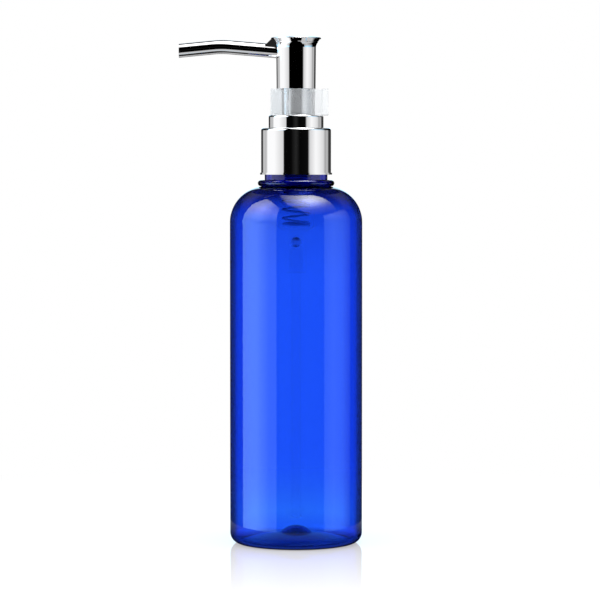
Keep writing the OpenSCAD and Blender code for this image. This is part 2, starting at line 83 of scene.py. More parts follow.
class Tree:
    """A node tree with short ways to add and join its nodes."""

    def __init__(self, tree: bpy.types.NodeTree) -> None:
        """Takes the tree to build in.

        Args:
            tree: a material's, world's, group's or modifier's node tree.
        """
        self.tree = tree

    def add(self, kind: str, label: str = "", **values: object) -> bpy.types.Node:
        """Adds one node.

        Args:
            kind: Blender's name for the node's type.
            label: what the node is for.
            values: properties of the node.

        Returns:
            The new node.
        """
        node = self.tree.nodes.new(kind)
        node.label = label
        for name, value in values.items():
            setattr(node, name, value)
        return node

    def feed(self, socket: Socket, value: object) -> None:
        """Gives a socket a link, if value is a socket, or else a plain value.

        Args:
            socket: the input to fill.
            value: a socket, number, colour or vector.
        """
        if isinstance(value, bpy.types.NodeSocket):
            self.tree.links.new(value, socket)
        else:
            socket.default_value = value

    def maths(self, operation: Operation, a: object, b: object = 0.0, clamp: bool = False) -> Socket:
        """A Math node's result.

        Args:
            operation: what it works out.
            a: first value or socket.
            b: second value or socket.
            clamp: whether to keep the result between 0 and 1.

        Returns:
            The result's socket.
        """
        node = self.add("ShaderNodeMath", operation=operation.value, use_clamp=clamp)
        self.feed(node.inputs[0], a)
        self.feed(node.inputs[1], b)
        return node.outputs[0]

    def chain(self, operation: Operation, values: Sequence[object]) -> Socket:
        """One operation worked along several values.

        Args:
            operation: what it works out.
            values: two or more values or sockets.

        Returns:
            The result's socket.
        """
        result = values[0]
        for value in values[1:]:
            result = self.maths(operation, result, value)
        return result

    def product(self, *values: object) -> Socket:
        """Values multiplied together."""
        return self.chain(Operation.MULTIPLY, values)

    def total(self, *values: object) -> Socket:
        """Values added together."""
        return self.chain(Operation.ADD, values)

    def most(self, *values: object) -> Socket:
        """The largest of several values."""
        return self.chain(Operation.MAXIMUM, values)

    def rest(self, share: object) -> Socket:
        """What a share leaves of 1."""
        return self.maths(Operation.SUBTRACT, 1.0, share)

    def apart(self, vector: Socket) -> tuple[Socket, ...]:
        """A vector's X, Y and Z."""
        node = self.add("ShaderNodeSeparateXYZ")
        self.feed(node.inputs[0], vector)
        return tuple(node.outputs)

    def mixed(self, factor: object, a: Socket, b: Socket) -> Socket:
        """Two shaders mixed.

        Args:
            factor: share of the second shader.
            a: first shader.
            b: second shader.

        Returns:
            The mixed shader's socket.
        """
        node = self.add("ShaderNodeMixShader")
        for socket, value in zip(node.inputs, (factor, a, b)):
            self.feed(socket, value)
        return node.outputs[0]

    def ramp(self, value: object, low: float, high: float, to_low: float = 0.0, to_high: float = 1.0,
             smooth: bool = False) -> Socket:
        """A Map Range node's result, held between its two ends.

        Args:
            value: the value to map.
            low: value that gives to_low.
            high: value that gives to_high.
            to_low: result at low.
            to_high: result at high.
            smooth: whether the ends ease in and out.

        Returns:
            The result's socket.
        """
        node = self.add("ShaderNodeMapRange", clamp=True,
                        interpolation_type="SMOOTHSTEP" if smooth else "LINEAR")
        self.feed(node.inputs["Value"], value)
        for name, number in (("From Min", low), ("From Max", high),
                             ("To Min", to_low), ("To Max", to_high)):
            self.feed(node.inputs[name], number)
        return node.outputs["Result"]

    def blend(self, factor: object, a: object, b: object) -> Socket:
        """A colour between two.

        Args:
            factor: share of the second colour.
            a: first colour.
            b: second colour.

        Returns:
            The mixed colour's socket.
        """
        node = self.add("ShaderNodeMix", data_type="RGBA")
        self.feed(node.inputs[0], factor)
        self.feed(node.inputs[6], a)
        self.feed(node.inputs[7], b)
        return node.outputs[2]

    def times(self, a: object, b: object) -> Socket:
        """Two colours multiplied.

        Args:
            a: first colour.
            b: second colour.

        Returns:
            The product's socket.
        """
        node = self.add("ShaderNodeMix", data_type="RGBA", blend_type="MULTIPLY")
        node.inputs[0].default_value = 1.0
        self.feed(node.inputs[6], a)
        self.feed(node.inputs[7], b)
        return node.outputs[2]

    def colours(self, value: object, stops: Sequence[tuple[float, Colour]]) -> Socket:
        """A colour looked up along a ramp.

        Args:
            value: where on the ramp, from 0 to 1.
            stops: pairs of place and colour, in order.

        Returns:
            The colour's socket.
        """
        node = self.add("ShaderNodeValToRGB")
        self.feed(node.inputs[0], value)
        band = node.color_ramp.elements
        while len(band) < len(stops):
            band.new(0.5)
        for element, (place, colour) in zip(band, stops):
            element.position = place
            element.color = rgba(colour)
        return node.outputs["Color"]

    def profile(self, value: object, stops: Stops) -> Socket:
        """A level that follows straight lines between stops.

        Args:
            value: the value to look up.
            stops: pairs of value and level, in order.

        Returns:
            The level's socket.
        """
        level: object = stops[0][1]
        for (low, before), (high, after) in zip(stops, stops[1:]):
            level = self.total(level, self.ramp(value, low, high, 0.0, after - before))
        return level

    def noise(self, where: object, scale: object, detail: float = 3.0) -> Socket:
        """A noise value at a place.

        Args:
            where: the coordinate's socket.
            scale: lumps in a metre.
            detail: octaves.

        Returns:
            The noise value's socket.
        """
        node = self.add("ShaderNodeTexNoise")
        self.feed(node.inputs["Vector"], where)
        self.feed(node.inputs["Scale"], scale)
        self.feed(node.inputs["Detail"], detail)
        return node.outputs["Fac"]


def rgba(colour: Colour) -> tuple[float, float, float, float]:
    """A colour with its alpha."""
    return (*colour, 1.0)


def turn_from_front(t: Tree, x: Socket, y: Socket) -> Socket:
    """How far a place or direction is turned from the front round the bottle's axis.

    Args:
        t: the tree to build in.
        x: how far it is to the right.
        y: how far it is to the back.

    Returns:
        The turn in degrees, positive to the right.
    """
    return t.product(t.maths(Operation.ARCTAN2, x, t.product(y, -1.0)), DEGREES)


def blank_material(name: str) -> tuple[bpy.types.Material, Tree]:
    """Makes a material without nodes.

    Args:
        name: the material's name.

    Returns:
        The material and its tree.
    """
    made = bpy.data.materials.new(name)
    made.use_nodes = True
    made.node_tree.nodes.clear()
    return made, Tree(made.node_tree)


def plain_mesh(name: str, points: Sequence[Sequence[float]], faces: Sequence[Sequence[int]],
               material: bpy.types.Material) -> bpy.types.Mesh:
    """Makes a mesh in one material.

    Args:
        name: the mesh's name.
        points: its corners.
        faces: which corners each of its faces has.
        material: its material.

    Returns:
        The mesh.
    """
    mesh = bpy.data.meshes.new(name)
    mesh.from_pydata(points, [], faces)
    mesh.materials.append(material)
    return mesh


def into_scene(name: str, data: bpy.types.ID) -> bpy.types.Object:
    """Makes an object and puts it in the scene.

    Args:
        name: the object's name.
        data: its mesh, lamp or lens.

    Returns:
        The object.
    """
    made = bpy.data.objects.new(name, data)
    bpy.context.scene.collection.objects.link(made)
    return made


@dataclass(frozen=True)
class SkinEffect:
    """A shader group for the fine unevenness of a surface, used by several finishes."""

    wear: Wear
    moulded_stretch: tuple[float, float, float] = (1.0, 1.0, 1.0)
    drawn_stretch: tuple[float, float, float] = (0.12, 0.12, 6.0)
    fine_detail: float = 4.0
    fine_share: float = 0.65
    broad_scale: float = 60.0
    broad_detail: float = 2.0
    middle: float = 0.5

    def group(self) -> bpy.types.NodeTree:
        """Finds the effect's node group, or makes it the first time.

        Returns:
            The group, with inputs Position, Roughness, Spread, Relief and Grain size, and outputs
            Roughness, Height and Shade.
        """
        name = self.wear.value
        if name in bpy.data.node_groups:
            return bpy.data.node_groups[name]
        tree = bpy.data.node_groups.new(name, "ShaderNodeTree")
        face = tree.interface
        face.new_socket("Position", in_out="INPUT", socket_type="NodeSocketVector")
        for label in ("Roughness", "Spread", "Relief", "Grain size"):
            face.new_socket(label, in_out="INPUT", socket_type="NodeSocketFloat")
        for label in ("Roughness", "Height", "Shade"):
            face.new_socket(label, in_out="OUTPUT", socket_type="NodeSocketFloat")
        t = Tree(tree)
        given = t.add("NodeGroupInput").outputs
        out = t.add("NodeGroupOutput").inputs
        stretch = t.add("ShaderNodeMapping", label="along the surface's grain")
        t.feed(stretch.inputs["Vector"], given["Position"])
        scale = self.moulded_stretch if self.wear is Wear.MOULDED else self.drawn_stretch
        stretch.inputs["Scale"].default_value = scale
        fine = t.noise(stretch.outputs[0], given["Grain size"], self.fine_detail)
        broad = t.noise(given["Position"], self.broad_scale, self.broad_detail)
        both = t.total(t.product(fine, self.fine_share), t.product(broad, 1 - self.fine_share))
        off = t.maths(Operation.SUBTRACT, both, self.middle)
        t.feed(out["Roughness"], t.maths(Operation.ADD, given["Roughness"],
                                         t.product(off, given["Spread"]), clamp=True))
        t.feed(out["Height"], t.product(both, given["Relief"]))
        t.feed(out["Shade"], broad)
        return tree


@dataclass(frozen=True)
class Depth:
    """Painted shade and painted light on the wall by height: a colour to multiply by, its share at each
    height, how far from the bottle's axis it reaches and how softly it ends there. The darkening at the
    base's dome, the shoulder and the neck is painted shade, and the lightening low on the body is painted
    light."""

    tint: Colour
    shares: Stops
    reach: float = 1.0
    ease: float = 0.5 * MM


@dataclass(frozen=True)
class Finish:
    """One surface finish, as plain numbers for a Principled shader and its skin effect.

    The rim gives a colour to multiply by as a wall is seen edge-on: painted shade at the wall's edges,
    standing in for dark surroundings seen through them. It fades out between the two counts of walls in
    rim_walls. The soak is the colour that a clear wall's depth gives.
    """

    name: str
    colour: Colour
    shade: Colour
    rough: float = 0.3
    spread: float = 0.08
    relief: float = 0.02
    grain: float = 900.0
    metal: float = 0.0
    clear: float = 0.0
    index: float = 1.5
    soak: Optional[Colour] = None
    soak_density: float = 0.0
    wear: Wear = Wear.MOULDED
    rim: Sequence[tuple[float, Colour]] = ()
    rim_walls: Span = (3.5, 4.5)
    # painted shade and painted light by height
    painted_shading: Sequence[Depth] = ()
    relief_height: float = 0.1 * MM

    def with_painted_shading(self, t: Tree, paint: Socket, place: Socket) -> Socket:
        """Paints shade and light into a colour by height, as far out as each entry reaches.

        Args:
            t: the tree to build in.
            paint: the colour.
            place: the place on the surface.

        Returns:
            The colour's socket, with the painted shade and light.
        """
        x, y, z = t.apart(place)
        flat = t.add("ShaderNodeCombineXYZ")
        t.feed(flat.inputs["X"], x)
        t.feed(flat.inputs["Y"], y)
        radius = t.add("ShaderNodeVectorMath", label="distance from the axis", operation="LENGTH")
        t.feed(radius.inputs[0], flat.outputs[0])
        # each entry darkens or lightens the colour at its heights: painted shade and painted light
        for depth in self.painted_shading:
            near = t.ramp(radius.outputs["Value"], depth.reach - depth.ease, depth.reach + depth.ease,
                          1.0, 0.0)
            share = t.product(t.profile(z, depth.shares), near)
            paint = t.times(paint, t.blend(share, rgba(WHITE), rgba(depth.tint)))
        return paint

    def with_painted_edge_shade(self, t: Tree, paint: Socket) -> Socket:
        """Paints shade into a colour at the wall's edges, where it is seen edge-on, on the first walls that
        a ray crosses.

        Args:
            t: the tree to build in.
            paint: the colour.

        Returns:
            The darkened colour's socket.
        """
        # painted edge shade: the colour darkens as the wall turns edge-on, standing in for dark surroundings
        # seen through it
        facing = t.add("ShaderNodeLayerWeight", label="painted edge shade")
        walls = t.add("ShaderNodeLightPath", label="walls crossed so far").outputs["Transmission Depth"]
        edge = t.colours(facing.outputs["Facing"], self.rim)
        return t.times(paint, t.blend(t.ramp(walls, *self.rim_walls), edge, rgba(WHITE)))

    def material(self) -> bpy.types.Material:
        """Builds the material, or returns it if it is there.

        Returns:
            The finished material.
        """
        made = bpy.data.materials.get(self.name)
        if made:
            return made
        made, t = blank_material(self.name)
        made.diffuse_color = rgba(self.colour)
        out = t.add("ShaderNodeOutputMaterial")
        shader = t.add("ShaderNodeBsdfPrincipled", label=self.name)
        place = t.add("ShaderNodeTexCoord").outputs["Object"]
        skin = t.add("ShaderNodeGroup", label=self.wear.value)
        skin.node_tree = SkinEffect(self.wear).group()
        t.feed(skin.inputs["Position"], place)
        for label, value in (("Roughness", self.rough), ("Spread", self.spread),
                             ("Relief", self.relief), ("Grain size", self.grain)):
            skin.inputs[label].default_value = value
        paint = t.blend(skin.outputs["Shade"], rgba(self.colour), rgba(self.shade))
        if self.painted_shading:
            paint = self.with_painted_shading(t, paint, place)
        if self.rim:
            paint = self.with_painted_edge_shade(t, paint)
        t.feed(shader.inputs["Base Color"], paint)
        t.feed(shader.inputs["Roughness"], skin.outputs["Roughness"])
        bump = t.add("ShaderNodeBump", label="surface relief")
        bump.inputs["Distance"].default_value = self.relief_height
        t.feed(bump.inputs["Height"], skin.outputs["Height"])
        t.feed(shader.inputs["Normal"], bump.outputs["Normal"])
        for label, value in (("Metallic", self.metal), ("IOR", self.index),
                             ("Transmission Weight", self.clear)):
            shader.inputs[label].default_value = value
        t.feed(out.inputs["Surface"], shader.outputs[0])
        if self.soak:
            soak = t.add("ShaderNodeVolumeAbsorption", label="colour in the wall")
            soak.inputs["Color"].default_value = rgba(self.soak)
            soak.inputs["Density"].default_value = self.soak_density
            t.feed(out.inputs["Volume"], soak.outputs[0])
        return made


@dataclass(frozen=True)
class FinishSet:
    """Every finish on the pump bottle."""

    blue_plastic: Finish = Finish("clear blue blown plastic", (0.17, 0.375, 0.935), (0.16, 0.36, 0.93),
                                  rough=0.012, spread=0.01, relief=0.001, grain=120.0, clear=1.0, index=1.57,
                                  soak=(0.044, 0.45, 0.934), soak_density=700.0,
                                  # painted edge shade: the colour turns purple and near black as the wall is
                                  # seen edge-on
                                  rim=((0.0, WHITE), (0.28, WHITE), (0.42, (0.6, 0.6, 0.86)),
                                       (0.56, (0.5, 0.5, 0.8)), (0.62, (0.5, 0.34, 0.62)),
                                       (0.67, (0.4, 0.2, 0.4)), (0.72, (0.2, 0.07, 0.12)),
                                       (0.8, (0.12, 0.03, 0.05))),
                                  # painted shade at the base's dome, the shoulder and the neck, and painted
                                  # light low on the body
                                  painted_shading=(
                                      Depth((0.1, 0.05, 0.38), (
                                          (0.0, 1.0), (0.008, 0.95), (0.012, 0.0)), 0.0215),
                                      Depth((0.5, 0.25, 0.35), (
                                          (0.0, 0.9), (0.001, 0.6), (0.003, 0.0), (0.1, 0.0),
                                          (0.119, 0.1), (0.124, 0.17), (0.127, 0.32), (0.130, 0.65),
                                          (0.1325, 1.0), (0.141, 0.9))),
                                      Depth((1.5, 1.45, 1.0), (
                                          (0.0, 0.0), (0.004, 0.0), (0.009, 0.9), (0.017, 0.45),
                                          (0.025, 0.12), (0.035, 0.0)))))
    bright_metal: Finish = Finish("bright polished shell", (0.93, 0.93, 0.94), (0.9, 0.9, 0.91),
                                  rough=0.015, spread=0.01, relief=0.0005, grain=300.0, metal=1.0,
                                  wear=Wear.DRAWN)
    bright_moulding: Finish = Finish("bright metallised moulding", (0.92, 0.92, 0.93), (0.89, 0.89, 0.9),
                                     rough=0.015, spread=0.01, relief=0.0005, grain=160.0, metal=1.0)
    frosted: Finish = Finish("frosted clip moulding", (0.86, 0.88, 0.895), (0.84, 0.86, 0.88),
                             rough=0.25, spread=0.06, relief=0.01, grain=2500.0, clear=0.88, index=1.35,
                             # painted edge shade: the clip greys as its wall is seen edge-on
                             rim=((0.0, WHITE), (0.5, (0.98, 0.98, 0.98)),
                                  (0.85, (0.72, 0.72, 0.72)), (1.0, (0.5, 0.5, 0.5))))
    white_moulding: Finish = Finish("white natural moulding", (0.8, 0.8, 0.78), (0.74, 0.75, 0.74),
                                    rough=0.36, spread=0.15, relief=0.03, grain=2200.0)
    clear_moulding: Finish = Finish("clear natural moulding", (0.985, 0.99, 1.0), (0.975, 0.985, 0.995),
                                    rough=0.06, spread=0.03, relief=0.001, grain=900.0, clear=1.0,
                                    index=1.02)
    clear_tube: Finish = Finish("clear drawn tube", (0.97, 0.98, 1.0), (0.95, 0.97, 1.0),
                                rough=0.05, spread=0.04, relief=0.002, grain=300.0, clear=1.0, index=1.02)
    spring_wire: Finish = Finish("drawn spring wire", (0.95, 0.95, 0.96), (0.9, 0.9, 0.91),
                                 rough=0.5, spread=0.12, relief=0.02, grain=3000.0, metal=1.0,
                                 wear=Wear.DRAWN)
    ball_steel: Finish = Finish("polished ball steel", (0.94, 0.94, 0.95), (0.9, 0.9, 0.91),
                                rough=0.35, spread=0.08, relief=0.004, grain=1200.0, metal=1.0)
    seal_foam: Finish = Finish("white sealing foam", (0.78, 0.78, 0.76), (0.66, 0.67, 0.66),
                               rough=0.8, spread=0.2, relief=0.3, grain=5200.0)
    piston_seal: Finish = Finish("soft piston moulding", (0.66, 0.73, 0.82), (0.6, 0.68, 0.78),
                                 rough=0.4, spread=0.12, relief=0.02, grain=1800.0)


FINISHES = FinishSet()


def dress(node: str, finish: Finish) -> None:
    """Puts a finish on a CAD node.

    Args:
        node: the node's name.
        finish: its finish.
    """
    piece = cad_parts[node]
    made = finish.material()
    if piece.material_slots:
        for place in piece.material_slots:
            place.material = made
    else:
        piece.data.materials.append(made)
    LOG.info("dressed %s in %s", node, finish.name)


@dataclass
class Bottle:
    """The blown bottle."""

    finish: Finish = FINISHES.blue_plastic

    def build(self) -> None:
        """Dresses the bottle."""
        dress("bottle", self.finish)


@dataclass
class Closure:
    """The metal shell, its threaded liner and the mouth's gasket."""

    shell: Finish = FINISHES.bright_metal
    liner: Finish = FINISHES.white_moulding
    seal: Finish = FINISHES.seal_foam

    def build(self) -> None:
        """Dresses the three pieces."""
        dress("closure_shell", self.shell)
        dress("closure_liner", self.liner)
        dress("gasket", self.seal)


@dataclass
class ReturnSpring:
    """The pump's coil spring, wound along a helix with closed ends, which take three wires' height."""

    wire: float = 0.8 * MM
    across: float = 10.0 * MM
    coils: int = 7
    foot: float = 120.05 * MM
    top: float = 139.75 * MM
    travel: float = 9.5 * MM
    end_wires: float = 3.0
    steps_a_turn: int = 48
    wire_sides: int = 14
    finish: Finish = FINISHES.spring_wire

    def tree(self) -> bpy.types.NodeTree:
        """Makes the node tree that winds the wire.

        Returns:
            A geometry node tree with named inputs for the sizes.
        """
        made = bpy.data.node_groups.new("wound spring", "GeometryNodeTree")
        face = made.interface
        face.new_socket("Geometry", in_out="OUTPUT", socket_type="NodeSocketGeometry")
        for label in ("Wire diameter", "Mean diameter", "Length", "Coils", "Foot"):
            face.new_socket(label, in_out="INPUT", socket_type="NodeSocketFloat")
        face.new_socket("Finish", in_out="INPUT", socket_type="NodeSocketMaterial")
        t = Tree(made)
        given = t.add("NodeGroupInput")
        size = given.outputs
        wind = t.add("GeometryNodeCurveSpiral")
        wind.inputs["Resolution"].default_value = self.steps_a_turn
        radius = t.product(size["Mean diameter"], 0.5)
        t.feed(wind.inputs["Rotations"], size["Coils"])
        t.feed(wind.inputs["Start Radius"], radius)
        t.feed(wind.inputs["End Radius"], radius)
        wind.inputs["Height"].default_value = 0.0
        along = t.add("GeometryNodeSplineParameter").outputs["Factor"]
        one = t.maths(Operation.DIVIDE, 1.0, size["Coils"])
        last = t.maths(Operation.SUBTRACT, 1.0, one)
        wire = size["Wire diameter"]
        active = t.maths(Operation.SUBTRACT, size["Length"], t.product(wire, self.end_wires))
        rise = t.total(t.ramp(along, 0.0, one, 0.0, wire), t.ramp(along, one, last, 0.0, active),
                       t.ramp(along, last, 1.0, 0.0, wire))
        start = t.total(size["Foot"], t.product(wire, 0.5))
        lift = t.add("ShaderNodeCombineXYZ")
        t.feed(lift.inputs["Z"], t.total(start, rise))
        move = t.add("GeometryNodeSetPosition")
        t.feed(move.inputs["Geometry"], wind.outputs[0])
        t.feed(move.inputs["Offset"], lift.outputs[0])
        rod = t.add("GeometryNodeCurvePrimitiveCircle")
        rod.inputs["Resolution"].default_value = self.wire_sides
        t.feed(rod.inputs["Radius"], t.product(wire, 0.5))
        skin = t.add("GeometryNodeCurveToMesh")
        t.feed(skin.inputs["Curve"], move.outputs[0])
        t.feed(skin.inputs["Profile Curve"], rod.outputs[0])
        skin.inputs["Fill Caps"].default_value = True
        smooth = t.add("GeometryNodeSetShadeSmooth")
        t.feed(smooth.inputs["Geometry"], skin.outputs[0])
        real = t.add("GeometryNodeRealizeInstances")
        t.feed(real.inputs[0], smooth.outputs[0])
        paint = t.add("GeometryNodeSetMaterial")
        t.feed(paint.inputs["Geometry"], real.outputs[0])
        t.feed(paint.inputs["Material"], size["Finish"])
        t.feed(t.add("NodeGroupOutput").inputs["Geometry"], paint.outputs[0])
        return made

    def build(self) -> None:
        """Winds the spring, makes it a plain mesh and puts it in the pump."""
        length = self.top - self.foot
        holder = into_scene("wound_spring_maker", bpy.data.meshes.new("wound_spring_maker"))
        tree = self.tree()
        winding = holder.modifiers.new("winding", "NODES")
        winding.node_group = tree
        sizes = {"Wire diameter": self.wire, "Mean diameter": self.across, "Coils": float(self.coils),
                 "Length": length, "Foot": self.foot, "Finish": self.finish.material()}
        for item in tree.interface.items_tree:
            if item.in_out == "INPUT":
                winding[item.identifier] = sizes[item.name]
        graph = bpy.context.evaluated_depsgraph_get()
        mesh = bpy.data.meshes.new_from_object(holder.evaluated_get(graph))
        holder.modifiers.remove(winding)
        bpy.data.objects.remove(holder)
        spring = into_scene("wound_return_spring", mesh)
        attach(spring, "pump")
        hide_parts("return_spring")
        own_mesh(spring)
        LOG.info("wound %s with %d triangles", spring.name,
                 sum(len(face.vertices) - 2 for face in mesh.polygons))


@dataclass
class PumpEngine:
    """The pieces that work inside the closure and the bottle."""

    housing: Finish = FINISHES.clear_moulding
    guide: Finish = FINISHES.white_moulding
    tube: Finish = FINISHES.clear_tube
    ball: Finish = FINISHES.ball_steel
    seal: Finish = FINISHES.piston_seal
    rod: Finish = FINISHES.white_moulding
    stem: Finish = FINISHES.bright_moulding
    spring: ReturnSpring = field(default_factory=ReturnSpring)

    def build(self) -> None:
        """Dresses the pieces and winds the spring."""
        dress("pump_housing", self.housing)
        dress("stem_guide", self.guide)
        dress("dip_tube", self.tube)
        dress("inlet_ball", self.ball)
        dress("piston", self.seal)
        dress("piston_rod", self.rod)
        dress("stem", self.stem)
        self.spring.build()


@dataclass
class Head:
    """The bright head with its spout."""

    finish: Finish = FINISHES.bright_moulding

    def build(self) -> None:
        """Dresses the head."""
        dress("head", self.finish)


@dataclass
class LockClip:
    """The frosted clip round the stem."""

    finish: Finish = FINISHES.frosted

    def build(self) -> None:
        """Dresses the clip."""
        dress("lock_clip", self.finish)


@dataclass(frozen=True)
class SidePanel:
    """A tall soft box at one side, as tangents of its edges seen from the bottle."""

    near: float
    far: float
    top: float
    levels: Stops


@dataclass(frozen=True)
class Edge:
    """One straight edge of the overhead soft box, as a point on it and the way inwards."""

    point: Span
    inward: Span


@dataclass(frozen=True)
class Lamp:
    """A soft square lamp that faces the bottle: its name, place, width and power in watts."""

    name: str
    place: tuple[float, float, float]
    size: float
    power: float
    target: tuple[float, float, float] = (0.0, 0.0, 0.1)

    def hang(self) -> None:
        """Hangs the lamp, unseen by the camera and by bright or clear surfaces."""
        light = bpy.data.lights.new(self.name, "AREA")
        light.shape = "SQUARE"
        light.size = self.size
        light.energy = self.power
        lamp = into_scene(self.name, light)
        lamp.location = self.place
        way = Vector(self.target) - Vector(self.place)
        lamp.rotation_euler = way.to_track_quat("-Z", "Y").to_euler()
        lamp.visible_glossy = False
        lamp.visible_transmission = False
        lamp.visible_camera = False


@dataclass
class Surroundings:
    """White behind the object, and a dark front with soft boxes for bright surfaces to reflect.

    A direction is given by how far it points right, back and up, and its turn is its angle from the front
    in degrees, positive to the right. The belt is what bright upright walls reflect.
    """

    through: float = 1.25
    front_through: float = 1.5
    ambient: float = 0.8
    least_reach: float = 0.001
    left_panel: SidePanel = SidePanel(-1.48, 0.29, 1.7, (
        (-1.48, 0.5), (-0.9, 0.6), (-0.6, 1.0), (-0.3, 1.45), (0.0, 1.3), (0.29, 1.1)))
    right_panel: SidePanel = SidePanel(-0.84, 0.34, 0.5, (
        (-0.84, 0.4), (-0.4, 0.6), (0.0, 0.4), (0.34, 0.12)))
    panel_ease: float = 0.03
    panel_top_ease: float = 0.08
    panel_rise: Stops = ((0.1, 1.0), (0.6, 2.6), (0.8, 3.3), (1.6, 2.2))
    panel_cast: Colour = (1.0, 1.75, 2.3)
    cast_rise: Span = (-0.26, -0.2)
    cast_fade: Span = (0.05, 0.5)
    left_belt: Stops = (
        (0, 0.02), (16, 0.002), (40, 0.002), (43, 0.72), (76, 1.06), (107, 1.06), (114, 0.6), (124, 0.52),
        (135, 0.66), (143, 0.05), (171, 0.02), (173, 1.0))
    right_belt: Stops = (
        (0, 0.02), (12, 0.002), (40, 0.004), (46, 0.7), (68, 1.03), (84, 0.92), (102, 0.75), (112, 0.4),
        (126, 0.56), (136, 0.05), (171, 0.02), (173, 1.0))
    belt_rise: Span = (-0.35, 3.6)
    belt_ease: float = 0.3
    front_ease: float = 0.01
    back_turn: Span = (170, 173)
    back_rise: Span = (3.6, 22.0)
    back_ease: float = 0.5
    below: Stops = ((-42, 0.6), (-34, 0.0))
    roof: Sequence[Edge] = (
        Edge((-0.27, 0.0), (1.0, 0.0)), Edge((-0.3, -0.5), (0.797, 0.604)),
        Edge((0.0, 0.24), (0.0, -1.0)), Edge((0.3, 0.25), (-0.272, -0.962)))
    roof_middle: Span = (0.3, -0.13)
    roof_squeeze: float = 0.75
    roof_levels: Stops = (
        (0.0, 10.0), (0.1, 9.5), (0.25, 6.0), (0.4, 3.3), (0.5, 1.9), (0.72, 0.7), (1.1, 0.3),
        (1.6, 0.0))
    roof_ease: Span = (-0.03, 0.05)
    roof_rise: Span = (0.02, 0.1)
    ceiling: Stops = ((0.35, 0.0), (0.7, 0.2))
    ceiling_rise: Span = (0.35, 0.6)
    backdrop: Span = (-0.3, 0.1)
    deep_walls: Span = (4.5, 5.5)

    @staticmethod
    def within(t: Tree, value: object, low: float, high: float, ease: float) -> Socket:
        """A mask that is 1 between two values.

        Args:
            t: the tree to build in.
            value: the value to test.
            low: where the mask opens.
            high: where it shuts.
            ease: how wide its soft edges are.

        Returns:
            The mask's socket.
        """
        opens = t.ramp(value, low - ease / 2, low + ease / 2, smooth=True)
        shuts = t.ramp(value, high - ease / 2, high + ease / 2, 1.0, 0.0, smooth=True)
        return t.product(opens, shuts)

    def side(self, t: Tree, panel: SidePanel, out: object, y: object, z: object) -> Socket:
        """The level of a side soft box in one direction.

        Args:
            t: the tree to build in.
            panel: the soft box.
            out: how far the direction points to the box's side.
            y: how far it points back.
            z: how far it points up.

        Returns:
            The level's socket.
        """
        reach = t.most(out, self.least_reach)
        along = t.maths(Operation.DIVIDE, y, reach)
        up = t.maths(Operation.DIVIDE, z, reach)
        top = t.ramp(up, panel.top - self.panel_top_ease, panel.top + self.panel_top_ease, 1.0, 0.0,
                     smooth=True)
        return t.product(self.within(t, along, panel.near, panel.far, self.panel_ease), top,
                         t.profile(up, self.panel_rise), t.profile(along, panel.levels))

    def overhead(self, t: Tree, x: object, y: object, z: object) -> Socket:
        """The level of the overhead soft box and the ceiling round it in one direction.

        Args:
            t: the tree to build in.
            x: how far the direction points right.
            y: how far it points back.
            z: how far it points up.

        Returns:
            The level's socket.
        """
        reach = t.most(z, self.least_reach)
        across = t.maths(Operation.DIVIDE, x, reach)
        back = t.maths(Operation.DIVIDE, y, reach)
        middle_x, middle_y = self.roof_middle
        off_x = t.maths(Operation.SUBTRACT, across, middle_x)
        off_y = t.product(t.maths(Operation.SUBTRACT, back, middle_y), self.roof_squeeze)
        away = t.maths(Operation.SQUARE_ROOT, t.total(t.product(off_x, off_x), t.product(off_y, off_y)))
        shown = t.profile(away, self.roof_levels)
        for edge in self.roof:
            inside = [t.product(t.maths(Operation.SUBTRACT, value, place), way)
                      for value, place, way in zip((across, back), edge.point, edge.inward)]
            shown = t.product(shown, t.ramp(t.total(*inside), *self.roof_ease, smooth=True))
        plain = t.product(t.profile(back, self.ceiling), t.ramp(z, *self.ceiling_rise))
        return t.most(t.product(shown, t.ramp(z, *self.roof_rise)), plain)

    def boxes(self, t: Tree, way: Sequence[Socket], turn: Socket, up: Socket) -> Socket:
        """The level of every soft box in one direction.

        Args:
            t: the tree to build in.
            way: how far the direction points right, back and up.
            turn: its turn from the front.
            up: its angle above the horizon in degrees.

        Returns:
            The level's socket.
        """
        x, y, z = way
        behind = t.product(t.ramp(t.maths(Operation.ABSOLUTE, turn), *self.back_turn, smooth=True),
                           self.within(t, up, *self.back_rise, self.back_ease))
        return t.most(self.side(t, self.left_panel, t.product(x, -1.0), y, z),
                      self.side(t, self.right_panel, x, y, z), self.overhead(t, x, y, z),
                      behind, t.profile(up, self.below))

    def belt(self, t: Tree, turn: Socket) -> Socket:
        """The belt's level at one turn.

        Args:
            t: the tree to build in.
            turn: the turn from the front.

        Returns:
            The level's socket.
        """
        right = t.ramp(turn, -self.front_ease, self.front_ease)
        return t.total(t.product(t.profile(turn, self.right_belt), right),
                       t.product(t.profile(t.product(turn, -1.0), self.left_belt), t.rest(right)))

    def white_level(self, t: Tree, ray: Outputs, y: Socket, level: Socket) -> Socket:
        """How bright the white is, seen directly or through clear walls.

        Args:
            t: the tree to build in.
            ray: what kind of ray looks.
            y: how far the direction points back.
            level: what bright surfaces reflect from there.

        Returns:
            The level's socket.
        """
        plain_white = t.most(t.ramp(y, *self.backdrop, smooth=True),
                             t.ramp(ray["Transmission Depth"], *self.deep_walls))
        seen_through = t.total(t.product(plain_white, self.through),
                               t.product(level, self.front_through, t.rest(plain_white)))
        clear = ray["Is Transmission Ray"]
        return t.total(t.product(seen_through, clear), t.rest(clear))

